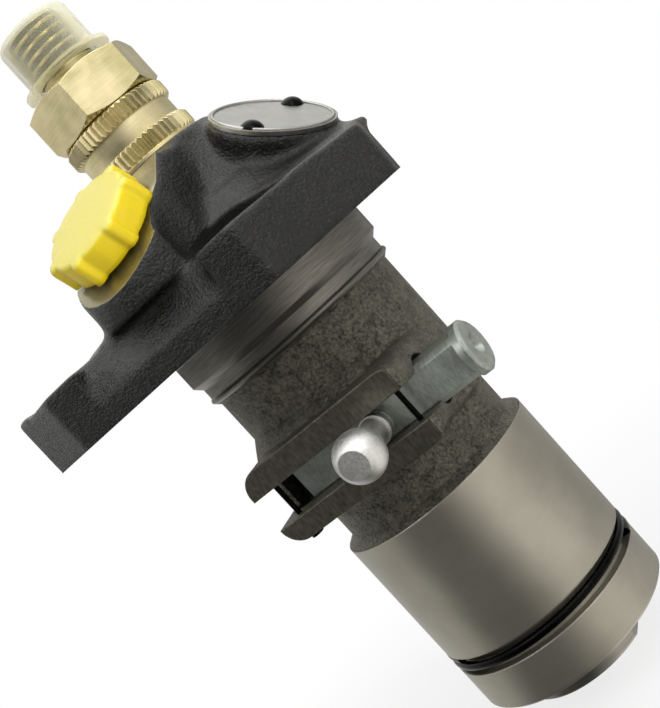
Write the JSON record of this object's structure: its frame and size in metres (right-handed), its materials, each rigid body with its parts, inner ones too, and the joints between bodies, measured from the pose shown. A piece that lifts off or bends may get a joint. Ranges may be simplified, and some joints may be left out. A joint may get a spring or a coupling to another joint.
{
  "type": "diesel injection pump",
  "caption": "Flange-mounted plug-in diesel injection pump with a sliding control rack and ball stud, roller tappet, delivery union and capped fuel inlet.",
  "frame": {"origin": "on the pump axis at the flange's seating face", "axes": "+Z along the pump axis to the delivery union, +X along the control rack towards its free end, -Y to the fuel inlet's side"},
  "size_m": [0.079, 0.0797, 0.1431],
  "materials": {
    "housing_casting": "black paint above the flange's seat, bare metal below",
    "hardened_steel": "ground",
    "turned_steel": "turned and milled",
    "bright_steel": "fine turned, matte silver",
    "spring_steel": "oiled wire",
    "black_steel": "blackened",
    "rivet_steel": "dark, glossy domes",
    "gold_plated_steel": "yellow passivated zinc",
    "copper_ring": "plain copper",
    "bronze_bush": "plain bronze",
    "clear_plastic": "milky, see-through",
    "yellow_plastic": "glossy yellow",
    "plate_aluminium": "satin, left bare"
  },
  "bodies": {
    "housing": {"pump_housing": "housing_casting", "plunger_barrel": "hardened_steel", "barrel_locating_pin": "hardened_steel", "delivery_valve_seat": "hardened_steel", "delivery_valve_spring": "spring_steel", "valve_gasket": "copper_ring", "volume_reducer": "turned_steel", "delivery_valve_holder": "gold_plated_steel", "outlet_cap": "clear_plastic", "inlet_cap": "yellow_plastic", "marking_plate": "plate_aluminium", "plate_rivets": "rivet_steel", "rack_stop_pins": "black_steel", "upper_spring_plate": "turned_steel", "plunger_spring": "spring_steel", "tappet_guide_pin": "hardened_steel", "retaining_ring": "black_steel"},
    "rack": {"control_rack": "turned_steel", "rack_ball_stud": "bright_steel"},
    "sleeve": {"control_sleeve": "turned_steel"},
    "tappet": {"tappet_body": "hardened_steel", "thrust_pad": "hardened_steel", "lower_spring_plate": "turned_steel", "roller_pin": "hardened_steel"},
    "plunger": {"plunger": "hardened_steel"},
    "roller": {"cam_roller": "hardened_steel", "roller_bush": "bronze_bush"},
    "valve": {"delivery_valve": "hardened_steel"}
  },
  "joints": [
    {"name": "rack_slide", "type": "slide", "parent": "housing", "child": "rack", "axis": [1, 0, 0], "range_m": [-0.0045, 0.003]},
    {"name": "sleeve_turn", "type": "hinge", "parent": "housing", "child": "sleeve", "pos_m": [0, 0, -0.026], "axis": [0, 0, 1], "range_deg": [-22, 15]},
    {"name": "tappet_slide", "type": "slide", "parent": "housing", "child": "tappet", "axis": [0, 0, 1], "range_m": [0, 0.008], "stiffness_N_per_m": 4600, "springref_m": -0.012, "deforming": ["plunger_spring"]},
    {"name": "plunger_turn", "type": "hinge", "parent": "tappet", "child": "plunger", "pos_m": [0, 0, -0.0439], "axis": [0, 0, 1], "range_deg": [-22, 15]},
    {"name": "roller_spin", "type": "hinge", "parent": "tappet", "child": "roller", "pos_m": [0, 0, -0.077], "axis": [1, 0, 0], "continuous": true},
    {"name": "valve_lift", "type": "slide", "parent": "housing", "child": "valve", "axis": [0, 0, 1], "range_m": [0, 0.002], "stiffness_N_per_m": 2000, "springref_m": -0.003, "deforming": ["delivery_valve_spring"]}
  ],
  "couplings": [
    {"joint": "sleeve_turn", "follows": "rack_slide", "rad_per_m": 76.923},
    {"joint": "plunger_turn", "follows": "rack_slide", "rad_per_m": 76.923}
  ]
}
